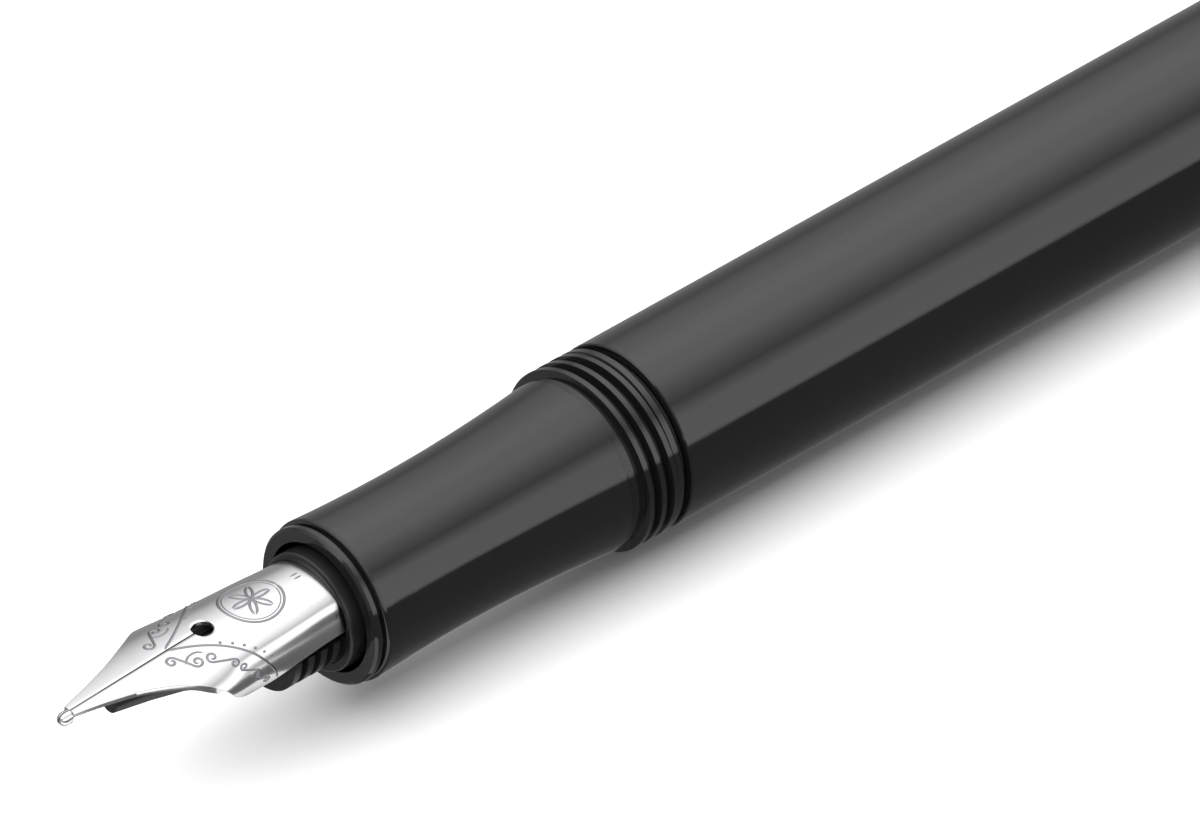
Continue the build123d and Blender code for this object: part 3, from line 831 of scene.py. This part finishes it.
def light_tent(radius):
    """Half tube around the pen's axis, whose glow is what the gloss reflects."""
    points, faces = [], []
    for step in range(TENT_STEPS + 1):
        turn = math.radians(TENT_SPAN * step / TENT_STEPS)
        for x in (TENT_FRONT, TENT_REAR):
            points.append((x, radius * math.cos(turn), AXIS_Z + radius * math.sin(turn)))
    for step in range(TENT_STEPS):
        faces.append((2 * step, 2 * step + 1, 2 * step + 3, 2 * step + 2))
    gloss_only(stage_sheet("light_tent", points, faces, glow("light_tent", tent_tones())))


def floor_paper(colour):
    """Pale paper with a faint fibre."""
    finish = Finish("floor_paper")
    fibre = finish.noise(300.0, 2.0)
    return finish.surface(
        Base_Color=finish.blend(fibre, scaled(colour, 0.99), colour), Roughness=0.9, Specular_IOR_Level=0.0
    )


class PEN_OT_stage(bpy.types.Operator):
    """Sets the floor, the soft studio lights and the camera"""

    bl_idname = "pen.stage"
    bl_label = "Stage"

    def execute(self, context):
        stage = context.scene.pen_stage
        face, paper = [(0, 1, 2, 3)], floor_paper(stage.floor)
        near, far = glow("near_card", stage.near_card), glow("far_card", stage.far_card)
        reach, notch = FLOOR_REACH, EDGE_X - NOTCH_REACH
        stage_sheet("floor", rectangle(-reach, -reach, reach, reach, 0), face, paper)
        cards = (
            ("near_card", (CARD_FRONT, -reach, CARD_REAR, NOTCH_SIDE), near),
            ("body_card", (notch, NOTCH_SIDE, CARD_REAR, CARD_MIDDLE), near),
            ("far_card", (CARD_FRONT, CARD_MIDDLE, CARD_REAR, reach), far),
        )
        for name, corners, material in cards:
            gloss_only(stage_sheet(name, rectangle(*corners, CARD_HEIGHT), face, material))
        light_tent(stage.tent_radius)

        lamp = bpy.data.lights.new("overhead", "AREA")
        lamp.shape, (lamp.size, lamp.size_y) = "RECTANGLE", LAMP_SIDES
        lamp.energy = stage.overhead * math.pi * lamp.size * lamp.size_y
        overhead = bpy.data.objects.new("overhead", lamp)
        context.scene.collection.objects.link(overhead)
        overhead.location = LAMP_PLACE
        overhead.visible_camera = overhead.visible_glossy = False

        world = bpy.data.worlds.new("room")
        world.use_nodes = True
        background = world.node_tree.nodes["Background"]
        background.inputs["Color"].default_value = (1, 1, 1, 1)
        background.inputs["Strength"].default_value = stage.sky
        context.scene.world = world

        turn, rise = math.radians(stage.azimuth), math.radians(stage.elevation)
        back = Vector((
            math.sin(turn) * math.cos(rise), -math.cos(turn) * math.cos(rise), math.sin(rise)
        ))
        right = Vector((0, 0, 1)).cross(back).normalized()
        up = back.cross(right)
        camera = bpy.data.objects.new("camera", bpy.data.cameras.new("camera"))
        context.scene.collection.objects.link(camera)
        camera.data.lens, camera.data.sensor_width, camera.data.clip_end = stage.lens, SENSOR_WIDTH, VIEW_END
        camera.location = place(0, 0, 0) + back * stage.distance
        camera.location += (up * CAMERA_UP - right * CAMERA_LEFT) * MM
        camera.rotation_euler = (-back).to_track_quat("-Z", "Y").to_euler()
        context.scene.camera = camera
        context.scene.view_settings.view_transform = "Standard"
        return {"FINISHED"}


class PEN_PT_panel(bpy.types.Panel):
    """Lists the pen's pieces"""

    bl_idname = "PEN_PT_panel"
    bl_label = "Fountain pen"
    bl_space_type = "VIEW_3D"
    bl_region_type = "UI"
    bl_category = "Pen"

    def draw(self, context):
        for operator in OPERATORS:
            self.layout.operator(operator.bl_idname)
        for group in (context.scene.pen_nib, context.scene.pen_body, context.scene.pen_stage):
            box = self.layout.box()
            for name in group.__annotations__:
                box.prop(group, name)


OPERATORS = (PEN_OT_nib, PEN_OT_engraving, PEN_OT_pellet, PEN_OT_body, PEN_OT_stage)
GROUPS = {"pen_nib": NibSettings, "pen_body": BodySettings, "pen_stage": StageSettings}


def register():
    for kind in (*GROUPS.values(), *OPERATORS, PEN_PT_panel):
        bpy.utils.register_class(kind)
    for name, kind in GROUPS.items():
        setattr(bpy.types.Scene, name, bpy.props.PointerProperty(type=kind))


def unregister():
    for name in GROUPS:
        delattr(bpy.types.Scene, name)
    for kind in reversed((*GROUPS.values(), *OPERATORS, PEN_PT_panel)):
        bpy.utils.unregister_class(kind)


def main():
    register()
    for operator in OPERATORS:
        group, name = operator.bl_idname.split(".")
        getattr(getattr(bpy.ops, group), name)()


if __name__ == "__main__":
    main()
